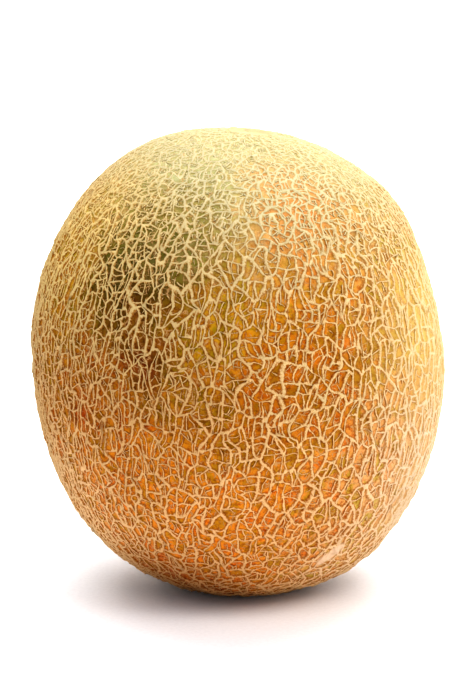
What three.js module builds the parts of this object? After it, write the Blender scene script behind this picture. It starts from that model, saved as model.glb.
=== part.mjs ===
// A whole netted cantaloupe melon, standing on its blossom end: one solid, its raised net included.
// Millimetres, +Z up, the front toward -Y, the origin under the middle of the box the fruit fills.
import * as THREE from 'three'
import { ConvexHull } from 'three/addons/math/ConvexHull.js'
import { mergeVertices } from 'three/addons/utils/BufferGeometryUtils.js'

// The smooth rind, measured from the middle of the widest girth
const HALF_WIDTH = 74.5
const HALF_HEIGHT = 83.7
const SQUARENESS = 2.12 // 2 gives a true ellipse, more fills out both shoulders
const FLAT_DROP = 83.35 // the blossom end is pressed flat at this depth
const FLAT_REACH = 0.176 // cells that come nearer than this to straight down belong to it, in radians

// Slow swells of the rind round the girth: how many, how high, and their phase
const SWELLS = [
  { count: 2, height: 0.5, phase: 0.6 },
  { count: 3, height: 0.45, phase: 2.1 },
  { count: 5, height: 0.3, phase: 4.0 },
]

// Broad bumps and hollows: where they are, how high, and how wide as an angle in radians
const SHOULDERS = [
  { toward: [-0.41, 0.16, 0.9], height: 2.8, spread: 0.36 },
  { toward: [0.17, 0.17, 0.97], height: 0.9, spread: 0.6 },
  { toward: [0.68, 0.13, 0.72], height: 1.5, spread: 0.22 },
  { toward: [0.94, 0.06, 0.35], height: -0.75, spread: 0.25 },
  { toward: [0.58, -0.14, -0.8], height: 1.8, spread: 0.8 },
  { toward: [-0.94, -0.06, -0.33], height: -2.3, spread: 0.53 },
  { toward: [0.49, -0.15, -0.86], height: 1.5, spread: 0.24 },
  { toward: [1, 0, -0.05], height: 0.8, spread: 0.2 },
]

// The round scar that the stem slipped out of, with a low lip round a shallow dish
const SCAR_TOWARD = [0.07, -0.03, 1]
const SCAR_REACH = 0.1 // cells that come nearer than this to its middle belong to it, in radians
const SCAR_RINGS = [
  { radius: 8, raised: 0.45 },
  { radius: 5.5, raised: -0.9 },
]
const SCAR_DEPTH = 1.3

// The net: cork ridges round cells that are larger than life
const SEED = 20
const CELL_COUNT = 730
const CELL_SCATTER = 0.36 // how far each cell strays from an even spacing
const RELAX_ROUNDS = 1
const RIDGE_HEIGHT = 1.25
const RIDGE_HEIGHT_SPREAD = 0.35 // share of the height that swells and sinks over the fruit
const RIDGE_RUNNING_UP = 1.35 // half-width of a ridge that runs from pole to pole
const RIDGE_RUNNING_ROUND = 0.85 // half-width of a ridge that runs round the girth
const LEAST_RIDGE = 1.6 // crossings closer than this are one crossing
const WIDEST_SHARE = 0.42 // no ridge takes more than this share of the way to a cell's middle
const GIRTH_STRETCH = 0.17 // draws the cells out along the girth and packs them at both ends
const CROWN_GATHER = 0.06 // packs the upper half a little closer than the lower

const GOLDEN_ANGLE = Math.PI * (3 - Math.sqrt(5))
const SAME_POINT = 1e-3

// A repeatable stream of numbers from 0 to 1
function makeDraws(seed) {
  let state = seed
  return () => {
    state = (state + 0x6d2b79f5) | 0
    let mixed = Math.imul(state ^ (state >>> 15), 1 | state)
    mixed = (mixed + Math.imul(mixed ^ (mixed >>> 7), 61 | mixed)) ^ mixed
    return ((mixed ^ (mixed >>> 14)) >>> 0) / 4294967296
  }
}

const scarMiddle = new THREE.Vector3(...SCAR_TOWARD).normalize()
const straightDown = new THREE.Vector3(0, 0, -1)
const shoulders = SHOULDERS.map((bump) => {
  return { ...bump, middle: new THREE.Vector3(...bump.toward).normalize() }
})

// How far the smooth rind is from the middle of the fruit in a direction
function rindRadius(direction) {
  const across = Math.hypot(direction.x, direction.y)
  const wide = (across / HALF_WIDTH) ** SQUARENESS
  const tall = (Math.abs(direction.z) / HALF_HEIGHT) ** SQUARENESS
  const turn = Math.atan2(direction.y, direction.x)
  let radius = (wide + tall) ** (-1 / SQUARENESS)
  for (const swell of SWELLS) {
    radius += swell.height * across ** 2 * Math.cos(swell.count * turn - swell.phase)
  }
  for (const bump of shoulders) {
    const away = direction.angleTo(bump.middle) / bump.spread
    radius += bump.height * Math.exp(-away * away)
  }
  return radius
}

// The point of the rind in a direction, raised by some height and never under the flat spot
function rindPoint(direction, raised) {
  const point = direction.clone().multiplyScalar(rindRadius(direction) + raised)
  if (point.z < -FLAT_DROP) point.multiplyScalar(FLAT_DROP / -point.z)
  return point
}

// Cells are packed closer at both ends than along the girth, as the fruit stretched there
function stretchOverFruit(direction) {
  const polar = Math.acos(THREE.MathUtils.clamp(direction.z, -1, 1))
  const around = Math.atan2(direction.y, direction.x)
  const gathered = CROWN_GATHER * Math.sin(polar) ** 2
  const stretched = polar - GIRTH_STRETCH * Math.sin(2 * polar) - gathered
  const out = Math.sin(stretched)
  return new THREE.Vector3(out * Math.cos(around), out * Math.sin(around), Math.cos(stretched))
}

// Cell middles, spread evenly over a ball in a spiral and then scattered
function scatterCells(draw) {
  const spacing = Math.sqrt((4 * Math.PI) / CELL_COUNT)
  const middles = []
  for (let i = 0; i < CELL_COUNT; i++) {
    const z = 1 - (2 * i + 1) / CELL_COUNT
    const out = Math.sqrt(1 - z * z)
    const around = i * GOLDEN_ANGLE
    const middle = new THREE.Vector3(out * Math.cos(around), out * Math.sin(around), z)
    const stray = new THREE.Vector3(draw() - 0.5, draw() - 0.5, draw() - 0.5)
    middle.addScaledVector(stray, 2 * CELL_SCATTER * spacing)
    middles.push(middle.normalize())
  }
  return middles
}

// Every crossing of the net lies over one triangle of the hull round the cell middles.
// Gives each cell its crossings, in order round it.
function findCells(middles) {
  const hull = new ConvexHull().setFromPoints(middles)
  const crossingsOf = new Map(middles.map((middle) => [middle, []]))
  for (const face of hull.faces) {
    const crossing = { direction: face.normal.clone().normalize() }
    for (let i = 0; i < 3; i++) {
      crossingsOf.get(face.getEdge(i).head().point).push(crossing)
    }
  }
  return middles.map((middle) => {
    const aside = new THREE.Vector3(-middle.y, middle.x, 0)
    if (aside.lengthSq() < SAME_POINT) aside.set(1, 0, 0).cross(middle)
    aside.normalize()
    const onward = new THREE.Vector3().crossVectors(middle, aside)
    const bearing = (crossing) => {
      return Math.atan2(crossing.direction.dot(onward), crossing.direction.dot(aside))
    }
    const crossings = crossingsOf.get(middle)
    crossings.sort((a, b) => bearing(a) - bearing(b))
    return { middle, crossings }
  })
}

// Moves every cell middle to the middle of its own cell, which rounds off the smallest cells
function relaxCells(middles) {
  return findCells(middles).map((cell) => {
    const sum = new THREE.Vector3()
    for (const crossing of cell.crossings) sum.add(crossing.direction)
    return sum.normalize()
  })
}

// The crossing that a crossing was joined to, or itself
function standIn(crossing) {
  return crossing.joined ? standIn(crossing.joined) : crossing
}

// Crossings that all but touch become one, so that no ridge is a mere speck
function joinCloseCrossings(cells) {
  for (const cell of cells) {
    cell.crossings.forEach((crossing, index) => {
      const here = standIn(crossing)
      const next = standIn(cell.crossings[(index + 1) % cell.crossings.length])
      const apart = here.direction.angleTo(next.direction) * HALF_WIDTH
      if (here !== next && apart < LEAST_RIDGE) {
        here.direction.add(next.direction).normalize()
        next.joined = here
      }
    })
  }
  for (const cell of cells) cell.crossings = [...new Set(cell.crossings.map(standIn))]
}

// How high the net stands over the rind in a direction: it swells and sinks slowly
function ridgeHeight(direction) {
  const wave = Math.sin(11 * direction.x + 1) * Math.sin(9 * direction.y + 2)
  return RIDGE_HEIGHT * (1 + RIDGE_HEIGHT_SPREAD * wave * Math.cos(10 * direction.z))
}

function comesNear(cell, direction, reach) {
  return cell.crossings.some((crossing) => crossing.direction.angleTo(direction) < reach)
}

// The net laid over the fruit, with the top of each crossing at its own height
function layNet() {
  let middles = scatterCells(makeDraws(SEED))
  for (let round = 0; round < RELAX_ROUNDS; round++) middles = relaxCells(middles)
  const cells = findCells(middles)
  for (const crossing of new Set(cells.flatMap((cell) => cell.crossings))) {
    crossing.direction = stretchOverFruit(crossing.direction)
  }
  joinCloseCrossings(cells)
  for (const crossing of new Set(cells.flatMap((cell) => cell.crossings))) {
    crossing.top = rindPoint(crossing.direction, ridgeHeight(crossing.direction))
  }
  for (const cell of cells) {
    cell.middle = stretchOverFruit(cell.middle)
    cell.isFlat = comesNear(cell, straightDown, FLAT_REACH)
    cell.isScar = comesNear(cell, scarMiddle, SCAR_REACH)
  }
  return cells
}

// Half-width of the ridge between two crossings: thick where it runs up the fruit, thin across
function ridgeHalfWidth(from, to) {
  const run = new THREE.Vector3().subVectors(to.direction, from.direction)
  const upward = Math.abs(run.z) / run.length()
  return THREE.MathUtils.lerp(RIDGE_RUNNING_ROUND, RIDGE_RUNNING_UP, upward)
}

// Share of the way from a crossing to the cell's middle that its two ridges take up
function footShare(cell, index) {
  const count = cell.crossings.length
  const middle = rindPoint(cell.middle, 0)
  const here = cell.crossings[index]
  const before = cell.crossings[(index + count - 1) % count]
  const after = cell.crossings[(index + 1) % count]
  const shares = [
    [before, here],
    [here, after],
  ].map(([from, to]) => {
    const line = new THREE.Line3(from.top, to.top)
    const nearest = line.closestPointToPoint(middle, false, new THREE.Vector3())
    return ridgeHalfWidth(from, to) / nearest.distanceTo(middle)
  })
  return Math.min((shares[0] + shares[1]) / 2, WIDEST_SHARE)
}

// One cell: its floor of bare rind and the flanks that rise from it to the ridge tops
function addCell(triangles, cell) {
  const count = cell.crossings.length
  const feet = cell.crossings.map((crossing, index) => {
    const share = footShare(cell, index)
    const direction = crossing.direction.clone().lerp(cell.middle, share).normalize()
    return rindPoint(direction, 0)
  })
  for (let i = 0; i < count; i++) {
    const next = (i + 1) % count
    const top = cell.crossings[i].top
    const nextTop = cell.crossings[next].top
    triangles.push([top, nextTop, feet[next]], [top, feet[next], feet[i]])
  }
  for (let i = 2; i < count; i++) triangles.push([feet[0], feet[i - 1], feet[i]])
}

// The crossings round the outside of a patch of cells, in order
function patchRim(patch) {
  const runs = new Map()
  const key = (from, to) => `${from.top.toArray()} ${to.top.toArray()}`
  for (const cell of patch) {
    cell.crossings.forEach((from, index) => {
      const to = cell.crossings[(index + 1) % cell.crossings.length]
      if (!runs.delete(key(to, from))) runs.set(key(from, to), [from, to])
    })
  }
  const nextOf = new Map(runs.values())
  const rim = [nextOf.keys().next().value]
  while (rim.length < nextOf.size) rim.push(nextOf.get(rim.at(-1)))
  return rim
}

// The flat spot: one level face right across a patch of cells
function addFlat(triangles, patch) {
  const rim = patchRim(patch)
  for (const crossing of rim) {
    crossing.top.copy(crossing.direction).multiplyScalar(FLAT_DROP / -crossing.direction.z)
  }
  const outline = rim.map((crossing) => new THREE.Vector2(crossing.top.x, crossing.top.y))
  for (const [a, b, c] of THREE.ShapeUtils.triangulateShape(outline, [])) {
    triangles.push([rim[a].top, rim[c].top, rim[b].top])
  }
}

// The stem scar: a lip and a dish, both round, in a patch of cells that the net leaves bare
function addScar(triangles, patch) {
  const rim = patchRim(patch)
  const rings = SCAR_RINGS.map((ring) => {
    return rim.map((crossing) => {
      const share = ring.radius / HALF_HEIGHT / crossing.direction.angleTo(scarMiddle)
      const direction = scarMiddle.clone().lerp(crossing.direction, share).normalize()
      return rindPoint(direction, ring.raised)
    })
  })
  const steps = [rim.map((crossing) => crossing.top), ...rings]
  const bottom = rindPoint(scarMiddle, -SCAR_DEPTH)
  for (let i = 0; i < rim.length; i++) {
    const next = (i + 1) % rim.length
    for (let step = 1; step < steps.length; step++) {
      const outer = steps[step - 1]
      const inner = steps[step]
      triangles.push([outer[i], outer[next], inner[next]], [outer[i], inner[next], inner[i]])
    }
    triangles.push([steps.at(-1)[i], steps.at(-1)[next], bottom])
  }
}

function buildMelon() {
  const cells = layNet()
  const triangles = []
  addFlat(triangles, cells.filter((cell) => cell.isFlat))
  addScar(triangles, cells.filter((cell) => cell.isScar))
  for (const cell of cells) {
    if (!cell.isFlat && !cell.isScar) addCell(triangles, cell)
  }
  const corners = triangles.flat().flatMap((corner) => corner.toArray())
  const loose = new THREE.BufferGeometry()
  loose.setAttribute('position', new THREE.Float32BufferAttribute(corners, 3))
  const geometry = mergeVertices(loose, SAME_POINT)
  geometry.computeBoundingBox()
  const { min, max } = geometry.boundingBox
  geometry.translate(-(min.x + max.x) / 2, -(min.y + max.y) / 2, -min.z)
  geometry.computeVertexNormals()
  return geometry
}

const rindMaterial = new THREE.MeshStandardMaterial({
  color: 0xd3a25a,
  roughness: 0.62,
  metalness: 0,
})

const melon = new THREE.Mesh(buildMelon(), rindMaterial)
melon.name = 'melon'

const group = new THREE.Group()
group.name = 'cantaloupe_melon'
group.add(melon)

export default group
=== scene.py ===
"""A whole netted cantaloupe melon on a white studio floor.

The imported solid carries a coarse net. This script reads that net off the solid, keeps its
ridges as the thick strands, and splits every cell again into the fine net of the real rind.
Everything is in metres, with +Z up and the front of the fruit toward -Y.
"""

import math
import random

import bpy
import numpy as np
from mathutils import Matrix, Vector


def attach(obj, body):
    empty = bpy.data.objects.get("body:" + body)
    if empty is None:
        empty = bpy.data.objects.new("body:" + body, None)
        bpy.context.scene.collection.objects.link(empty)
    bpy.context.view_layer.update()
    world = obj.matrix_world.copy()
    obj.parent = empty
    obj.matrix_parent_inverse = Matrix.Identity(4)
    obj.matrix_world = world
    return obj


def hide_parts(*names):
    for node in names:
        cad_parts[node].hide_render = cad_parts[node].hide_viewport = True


bl_info = {
    "name": "Cantaloupe Melon",
    "version": (1, 0, 0),
    "blender": (4, 5, 0),
    "location": "3D View > Sidebar > Melon",
    "description": "Grows the netted rind of a cantaloupe melon over its solid and sets its stage",
    "category": "Object",
}

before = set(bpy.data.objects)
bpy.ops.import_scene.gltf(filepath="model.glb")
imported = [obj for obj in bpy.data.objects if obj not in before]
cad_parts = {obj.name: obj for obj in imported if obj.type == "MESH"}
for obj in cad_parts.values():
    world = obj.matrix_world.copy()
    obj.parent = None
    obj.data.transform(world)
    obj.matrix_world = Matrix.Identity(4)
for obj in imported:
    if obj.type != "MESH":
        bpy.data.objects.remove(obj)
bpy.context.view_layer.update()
SOLID = "melon"

MM = 0.001

# The bare rind, as in the solid, measured from the middle of its widest girth. It is a slightly
# squared ellipsoid. A swell has a count round the fruit, a height and a turn in radians, and a
# shoulder has a direction, a height and a spread in radians
HALF_WIDTH = 74.5 * MM
HALF_HEIGHT = 83.7 * MM
FLAT_DROP = 83.35 * MM
MEAN_OVER_HALF_WIDTH = 1.06
SQUARENESS = 2.12
SWELLS = ((2, 0.5 * MM, 0.6), (3, 0.45 * MM, 2.1), (5, 0.3 * MM, 4.0))
SHOULDERS = (
    ((-0.41, 0.16, 0.9), 2.8 * MM, 0.36),
    ((0.17, 0.17, 0.97), 0.9 * MM, 0.6),
    ((0.68, 0.13, 0.72), 1.5 * MM, 0.22),
    ((0.94, 0.06, 0.35), -0.75 * MM, 0.25),
    ((0.58, -0.14, -0.8), 1.8 * MM, 0.8),
    ((-0.94, -0.06, -0.33), -2.3 * MM, 0.53),
    ((0.49, -0.15, -0.86), 1.5 * MM, 0.24),
    ((1, 0, -0.05), 0.8 * MM, 0.2),
)

# Reading the coarse net off the solid: what counts as one point, as bare rind, as a ridge and
# as level across, and the most corners that a cell has. A patch with more waits for its scar
SAME_POINT = 0.01 * MM
BARE_WITHIN = 0.3 * MM
MIDDLE_STEPS = 6
RIDGE_OVER = 0.6 * MM
FLAT_ACROSS = 1e-6
PATCH_CORNERS = 12

# Splitting it into the fine net. A cell is split when it is larger than wanted by a random one
# of SPLIT_OVER, along the best of a few cuts
CELL_AREA = 19.5 * MM * MM
LEAST_GAP = 0.55 * MM
STEP_LENGTH = 1.9 * MM
SPLIT_TRIES = 9
SPLIT_OVER = (0.7, 0.9, 1.2, 1.6, 2.1)
LAST_SPLIT_UNDER = 2.0
DIAGONAL_COST = 0.5
CUT_OFFSET = 0.2
LEAST_SQUARENESS = 0.05
SQUARENESS_POWER = 0.8

# How often a last strand or a line is whole, fades out at one end or fades out at both, and
# over which share of its length a strand fades
WHOLE, SPUR, ISLET, BURIED = "whole", "spur", "islet", "buried"
LAST_KINDS = (WHOLE, SPUR, ISLET)
STRAND_ODDS = (0.6, 0.33, 0.07)
LINE_ODDS = (0.4, 0.5, 0.1)
FADE_SHARE = 0.5

# The thin lines of cork that part the cells once more. Their sway and shake are in mm
LINED_AREA = 11 * MM * MM
LINE_GAP = 0.35 * MM
LINE_STEP = 1.0 * MM
LINE_HALF_WIDTH = 0.44 * MM
LINE_RISE = 0.42 * MM
LINE_SINK = 0.12 * MM
LINE_DIAGONAL_COST = 0.15
LINE_FOOT_CORK = -0.25
ISLET_STARTS = (0.15, 0.35)
FREE_ENDS = (0.4, 0.85)
LINE_BEND = 0.08
LINE_SWAY = 0.12
LINE_SHAKE = 0.06
LINE_SIZES = (0.75, 1.25)
LINE_STOP_SIZES = (0.8, 1.2)
ROUND_LINE = 0.8
UPRIGHT_GAIN = 0.45
TIP_SIZE = 0.04
TIP_POWER = 0.5
ISLET_GAIN = 1.2
TALLEST_LINE = 1.2

# The ridges: wide where they run up the fruit and narrow where they run round it. A cell too
# narrow for its ridges' full slopes has a raised floor
UP_HALF_WIDTH = 0.84 * MM
ROUND_HALF_WIDTH = 0.38 * MM
RIDGE_RISE = 0.85 * MM
LEAST_RISE = 0.35
WIDTH_RISE = 0.65
WIDEST_SHARE = 0.66
NARROW_FLOOR = 0.4 * MM
NARROW_ROOM = (0.3 * MM, 0.9 * MM)
WIDTH_SPREAD = (0.7, 1.3)
UPRIGHT_POWER = 1.5
LEVEL_WIDTHS = (1.0, 0.95, 0.88, 0.8, 0.72)
LEAST_HALF_WIDTH = 0.1 * MM
FADE_POWER = 0.6
CORK_FADE = 0.4

# Bowing the strands, but less where a cell would be squeezed shut or folded over itself
BOW = 0.06
BOW_REACH = 2
SWAY_REACH = 1
BEND_TRIES = 6
BOW_EASING = 0.4
SQUEEZED_UNDER = 0.35
FOLDED_OVER = 0.04

# Waves in the size of the ridges: a seed, a length and a strength
THICKNESS_WAVES = (31, 9 * MM, 0.16)
BEADING_WAVES = (32, 2.2 * MM, 0.16)

# Where the ridges round a cell come down to its floor. The middle is the one of a grid of tries
# with the most room, and limits keep the feet off it, off the crest and off each other
MIDDLE_TRIES = np.array([(x, y) for x in np.linspace(-1, 1, 7) for y in np.linspace(-1, 1, 7)])
TRY_SPAN = 0.28
LEAST_REACH = 0.1 * MM
LEAST_SLOPE = 0.1
LEAST_TOWARD = 0.02 * MM
CLOSE_WIDTHS = 1.6
CLOSE_MARGIN = 0.05 * MM
TOO_FAR = 9.0
LEAST_SHARE = 0.05
SOFTENING = 10.0
NO_ZERO = 1e-9
FOOT_SHARES = (0.12, 0.96)
UNFOLDED_DEPTHS = (0.3, 0.12)
UNFOLDED_REACH = 0.4 * MM
LEAST_FLOOR = 0.04

# The two scars: radius and rise of the hub, and its profile (share of the radius, height)
STEM_HUB = (8 * MM, 0.4 * MM)
BLOSSOM_HUB = (5 * MM, 0.1 * MM)
HUB_HALF_WIDTH = 0.6 * MM
TIE_RISE = 0.5
SCAR_ROUGHNESS = 0.12 * MM
STEM_PROFILE = (
    (0.9, 0.25 * MM),
    (0.8, -0.5 * MM),
    (0.68, -0.9 * MM),
    (0.5, -0.95 * MM),
    (0.34, -1.1 * MM),
    (0.18, -1.3 * MM),
)
BLOSSOM_PROFILE = ((0.8, 0.15 * MM), (0.55, 0.1 * MM), (0.3, 0.2 * MM))

# How far the bare skin of the flat spot stays off the floor, where only the ridges touch it
FLAT_BED = 0.25 * MM

# Waves that bend the strands: a length, a reach and a seed
WANDERINGS = (
    (16 * MM, 0.7 * MM, 51),
    (7 * MM, 0.34 * MM, 61),
    (4.0 * MM, 0.19 * MM, 71),
    (2.6 * MM, 0.08 * MM, 81),
)

# Colours of the skin, the cork and the paper, as sRGB hex
SKIN_GOLD = "A67205"
SKIN_AMBER = "B36B04"
SKIN_PALE = "C68B37"
CORK_TAN = "C39963"
CORK_PALE = "DEC08E"
CORK_GREY = "C8B78D"
SCAR_BROWN = "C8B68A"
HEALED_PINK = "F2CFAC"
PAPER_WHITE = "F4F4F4"
PAPER_BRIGHT = "FAFAFA"

# Tints that are laid over them: the mottled skin, and painted shade along the foot of the net and on
# its flanks. The pale ones stand where painted glare washes the fruit out
MOTTLE = "C09A60"
PALE_MOTTLE = "F0E8D0"
SEAM_PAINTED_SHADE = "A8743C"
PAINTED_FLANK_SHADE = "C89C58"
PAINTED_FLANK_SHADE_PALE = "F0E4C8"

# Green and red flecks of the skin: a tint, and the step in their noise (low, high, and the
# share of the tint at each)
FLECKS = (("C8E860", (0.4, 0.52, 1.0, 0.0)), ("FFD090", (0.52, 0.64, 0.0, 1.0)))

# Widths of what the skin's noise draws, from the ripening clouds down to the mottling
RIPENING_SIZE = 26 * MM
ZONE_WANDER_SIZE = 22 * MM
ZONE_WANDER_REACH = 30 * MM
FLECK_SIZE = 7 * MM
CRACK_PATCH_SIZE = 3.5 * MM
STREAK_EDGE_SIZE = 3 * MM
CRACK_SPACING = 2.6 * MM
CRACK_WANDER = 1.8 * MM
MOTTLE_SIZE = 1.5 * MM

# The same for the cork and the paper. The cork's fibres and the paper's tooth are finer on the
# real ones, and are drawn as coarse as they need to show
WEATHERED_SIZE = 5 * MM
CRUMB_SIZE = 0.75 * MM
CRUMB_STRENGTH = 1.7
CORK_EDGE = (0.2, 0.36)
FIBRE_SIZE = 0.45 * MM
TOOTH_SIZE = 1.5 * MM

# How deep the bumps of the rind and of the paper are, and how deep light goes into the skin
RIND_BUMP = 0.2 * MM
PAPER_BUMP = 0.05 * MM
LIGHT_DEPTH = 1.5 * MM

# Zones of the skin: centre and reach in mm, softness, colour and strength
SKIN_ZONES = (
    ((40, -58, 94), 36, 0.8, "C17009", 0.75),
    ((-44, -52, 53), 34, 0.8, "E08A18", 0.8),
    ((-6, -56, 27), 36, 0.7, "F09428", 0.9),
    ((40, -48, 44), 30, 0.8, "F0A040", 0.85),
    ((10, -72, 123), 25, 0.8, "D28713", 0.85),
    ((30, -58, 140), 24, 0.8, "D8932D", 0.8),
    ((-18, -70, 113), 23, 0.8, "BC9A20", 0.7),
    ((-62, -34, 130), 28, 0.8, "D6AC40", 0.85),
    ((-68, -26, 102), 26, 0.8, "C48A1C", 0.8),
    ((-35, -60, 126), 22, 0.6, "302800", 0.95),
    ((-36, -62, 98), 20, 0.8, "804C04", 0.5),
    # Pale zones on the right side: partly the skin's colour, partly painted light for the strong
    # light there
    ((72, -24, 108), 38, 0.75, "DABB72", 0.9),
    ((62, -32, 42), 36, 0.75, "DCB286", 0.9),
    ((-52, -36, 36), 22, 0.8, "F0A860", 0.8),
    # Painted shade: darker skin low at the front, where the fruit meets the floor
    ((-18, -34, 5), 22, 0.8, "8A3E0C", 0.7),
    ((38, -40, 18), 16, 0.8, "F2C080", 0.7),
    # The crown: partly the skin's own greenish pallor, partly painted light for the strong light
    # from above
    ((5, -20, 172), 54, 0.5, "C4C292", 0.95),
    ((24, -46, 148), 20, 0.8, "E08030", 0.6),
    ((-28, -50, 144), 20, 0.8, "7C7014", 0.6),
    ((-32, -64, 97), 8, 0.6, "6A2A04", 0.8),
    ((-52, -50, 77), 7, 0.6, "A8480A", 0.8),
)

# The same for the cork. Its pale zones on the crown and the right side are partly its own colour and
# partly painted light, and its dark zone at the foot is painted shade
CORK_ZONES = (
    ((-28, -66, 84), 30, 0.8, "B5854C", 0.5),
    # The crown, then the right side: partly the cork's colour, partly painted light for the strong
    # light there
    ((5, -20, 172), 60, 0.5, "C8BE98", 0.9),
    ((76, -24, 100), 42, 0.7, "DFC699", 0.8),
    ((62, -32, 42), 38, 0.7, "E0C4A4", 0.85),
    ((-60, -34, 132), 30, 0.8, "E6C883", 0.8),
    ((-32, -62, 116), 30, 0.7, "CEB884", 0.6),
    ((0, -58, 24), 44, 0.7, "ECBC86", 0.8),
    ((-58, -44, 60), 34, 0.8, "E0B27C", 0.6),
    ((-54, -34, 36), 24, 0.8, "F0C898", 0.8),
    # Painted shade: darker cork low at the front, where the fruit meets the floor
    ((-18, -34, 5), 22, 0.8, "9C6C3C", 0.7),
    ((38, -40, 18), 16, 0.8, "F0D0A8", 0.7),
)

# Where painted glare pales the fruit and weakens its flecks, mottling and painted shade, standing
# for the strong light on the crown and the right side: centre and reach in mm
PAINTED_GLARE_ZONES = (((5, -20, 172), 60), ((80, -24, 96), 42), ((74, -20, 48), 32))
PAINTED_GLARE_SOFTNESS = 0.55

# Healed scratches: centre in mm, turn in degrees, half-size in mm, strength
HEALED_STREAKS = (((32.5, -41, 23), (0, -42, 0), (8, 9, 2.2), 0.9),)

# How much of its square each side of the bake map fills
MAP_SHARE = 0.96

# The studio, in metres, with the camera's sensor and aim in mm. A light has a name, a place, a
# size, a power in watts, a tint and a target
SWEEP_WIDTH = 3.2
SWEEP_RISE = 0.75
SWEEP_BEND = 0.3
SWEEP_STEPS = 24
SENSOR_WIDTH = 36
LIGHTS = (
    ("key_light", (0.6, -0.6, 0.9), (0.5, 0.5), 3.2, "FFFFFF", (0, 0, 0.08)),
    ("front_light", (0.0, -0.8, 1.0), (0.8, 0.8), 3.4, "FFFFFF", (0, 0, 0.08)),
    ("side_light", (1.0, 0.0, 0.4), (0.6, 0.6), 2.3, "FFFFFF", (0, 0, 0.08)),
    ("fill_light", (0.0, -1.2, 0.15), (1.2, 0.3), 0.8, "FFFFFF", (0, 0, 0.05)),
    ("top_light", (0.2, 0.0, 1.2), (0.6, 0.6), 0.9, "FFFFFF", (0, 0, 0.08)),
    ("backdrop_light", (0.0, 0.5, 1.5), (2.0, 0.5), 34.0, "FFFFFF", (0, 1.5, 0.3)),
)
AIR_TINT = "E8F0FF"
AIR_STRENGTH = 0.45
AIM = (-1.7, 0.0, 88.0)


# ---------------------------------------------------------------- small helpers


def unit(vectors):
    """The same directions, with a length of 1."""
    return vectors / np.linalg.norm(vectors, axis=-1, keepdims=True)


class Waves:
    """A smooth repeatable field: a sum of sine waves of one wavelength in random directions."""

    def __init__(self, seed, wavelength, amplitude, count=7):
        draw = np.random.default_rng(seed)
        self.directions = unit(draw.normal(size=(count, 3)))
        self.turns = 2 * math.pi / (wavelength * draw.uniform(0.75, 1.3, count))
        self.phases = draw.uniform(0, 2 * math.pi, count)
        self.amplitude = amplitude * math.sqrt(2 / count)

    def parts(self, points):
        """The value of each sine wave at each point."""
        return self.amplitude * np.sin(points @ self.directions.T * self.turns + self.phases)

    def __call__(self, points):
        """The height of the field at each point."""
        return self.parts(points).sum(axis=-1)

    def sideways(self, points):
        """Shifts along the rind that bend the lines on it, and keep the areas between them."""
        across = np.cross(unit(points)[:, None], self.directions[None])
        return (self.parts(points)[..., None] * across).sum(axis=1)


def smoothstep(low, high, value):
    """A soft step from 0 to 1, as value goes from low to high."""
    share = np.clip((value - low) / (high - low), 0, 1)
    return share * share * (3 - 2 * share)


# ---------------------------------------------------------------- the rind's shape


def rind_radius(directions):
    """How far the bare rind is from the middle of the fruit in each direction."""
    across = np.hypot(directions[:, 0], directions[:, 1])
    wide = (across / HALF_WIDTH) ** SQUARENESS
    tall = (np.abs(directions[:, 2]) / HALF_HEIGHT) ** SQUARENESS
    turn = np.arctan2(directions[:, 1], directions[:, 0])
    radius = (wide + tall) ** (-1 / SQUARENESS)
    for count, height, phase in SWELLS:
        radius += height * across**2 * np.cos(count * turn - phase)
    for toward, height, spread in SHOULDERS:
        middle = unit(np.array(toward))
        away = np.arccos(np.clip(directions @ middle, -1, 1)) / spread
        radius += height * np.exp(-away * away)
    return radius


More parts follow.
